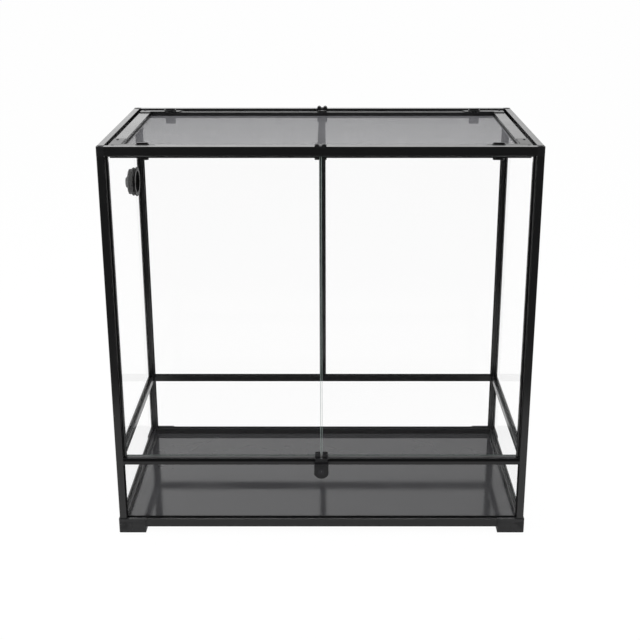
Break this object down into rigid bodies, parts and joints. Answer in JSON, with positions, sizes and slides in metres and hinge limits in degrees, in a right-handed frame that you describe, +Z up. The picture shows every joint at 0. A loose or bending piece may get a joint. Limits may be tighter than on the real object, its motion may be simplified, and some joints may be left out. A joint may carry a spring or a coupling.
{
  "type": "reptile terrarium",
  "caption": "Tall glass reptile terrarium: post-and-rail frame, double front doors with key lock, lift-off mesh top with turn knobs, round cable port.",
  "frame": {"origin": "on the ground, in the middle of the frame's footprint", "axes": "+X to the right-hand side, -Y to the front, where the doors open, +Z up"},
  "size_m": [0.9294, 0.4701, 0.895],
  "materials": {
    "frame": "satin black anodised",
    "plastic": "fine matt",
    "glass": "clear",
    "floor_panel": "glossy",
    "mesh": "dark coated wire",
    "lock": "satin",
    "steel": "brushed"
  },
  "bodies": {
    "frame": {"foot_front_left": "plastic", "foot_front_right": "plastic", "foot_rear_left": "plastic", "foot_rear_right": "plastic", "post_front_left": "frame", "post_front_right": "frame", "post_rear_left": "frame", "post_rear_right": "frame", "bottom_rail_front": "frame", "bottom_rail_rear": "frame", "bottom_rail_left": "frame", "bottom_rail_right": "frame", "mid_rail_front": "frame", "mid_rail_rear": "frame", "mid_rail_left": "frame", "mid_rail_right": "frame", "top_rail_front": "frame", "top_rail_rear": "frame", "top_rail_left": "frame", "top_rail_right": "frame", "top_corners": "plastic", "ledges": "frame", "base_panel": "floor_panel", "lower_pane_front": "glass", "lower_pane_rear": "glass", "lower_pane_left": "glass", "lower_pane_right": "glass", "upper_pane_left": "glass", "upper_pane_right": "glass", "upper_panes_rear": "glass", "rear_mullion": "frame", "door_stop": "plastic", "hinge_bushes": "plastic", "latch_bracket": "plastic", "lock_body": "lock", "brace": "frame", "brace_hooks": "plastic", "port_ring": "plastic", "port_cup": "plastic"},
    "door_left": {"door_left_glass": "glass", "door_left_stile": "frame", "door_left_pins": "steel", "door_left_clip": "plastic"},
    "door_right": {"door_right_glass": "glass", "door_right_stile": "frame", "door_right_pins": "steel", "door_right_clip": "plastic"},
    "screen_top": {"screen_bar_front": "frame", "screen_bar_rear": "frame", "screen_bar_left": "frame", "screen_bar_right": "frame", "screen_corners": "plastic", "screen_mesh": "mesh"},
    "knob_front_left": {"knob_front_left": "plastic"},
    "knob_front_right": {"knob_front_right": "plastic"},
    "knob_rear_left": {"knob_rear_left": "plastic"},
    "knob_rear_right": {"knob_rear_right": "plastic"},
    "key_cylinder": {"lock_cylinder": "steel"},
    "bolt": {"lock_bolt": "steel"},
    "cable_port_cover": {"port_cover": "plastic"}
  },
  "joints": [
    {"name": "door_left_swing", "type": "hinge", "parent": "frame", "child": "door_left", "pos_m": [-0.4356, -0.219, 0.5285], "axis": [0, 0, -1], "range_deg": [0, 100]},
    {"name": "door_right_swing", "type": "hinge", "parent": "frame", "child": "door_right", "pos_m": [0.4356, -0.219, 0.5285], "axis": [0, 0, 1], "range_deg": [0, 100]},
    {"name": "screen_lift", "type": "slide", "parent": "frame", "child": "screen_top", "axis": [0, 0, 1], "range_m": [0, 0.15]},
    {"name": "knob_front_left_turn", "type": "hinge", "parent": "screen_top", "child": "knob_front_left", "pos_m": [-0.366, -0.2, 0.8835], "axis": [0, 0, 1], "range_deg": [0, 90]},
    {"name": "knob_front_right_turn", "type": "hinge", "parent": "screen_top", "child": "knob_front_right", "pos_m": [0.366, -0.2, 0.8835], "axis": [0, 0, 1], "range_deg": [0, 90]},
    {"name": "knob_rear_left_turn", "type": "hinge", "parent": "screen_top", "child": "knob_rear_left", "pos_m": [-0.366, 0.2, 0.8835], "axis": [0, 0, 1], "range_deg": [0, 90]},
    {"name": "knob_rear_right_turn", "type": "hinge", "parent": "screen_top", "child": "knob_rear_right", "pos_m": [0.366, 0.2, 0.8835], "axis": [0, 0, 1], "range_deg": [0, 90]},
    {"name": "key_turn", "type": "hinge", "parent": "frame", "child": "key_cylinder", "pos_m": [0, -0.2335, 0.1585], "axis": [0, -1, 0], "range_deg": [0, 90]},
    {"name": "bolt_lift", "type": "slide", "parent": "frame", "child": "bolt", "axis": [0, 0, 1], "range_m": [0, 0.00594]},
    {"name": "port_cover_turn", "type": "hinge", "parent": "frame", "child": "cable_port_cover", "pos_m": [-0.461, 0.1435, 0.726], "axis": [-1, 0, 0], "range_deg": [0, 180]}
  ],
  "couplings": [
    {"joint": "bolt_lift", "follows": "key_turn", "m_per_rad": 0.003781}
  ]
}
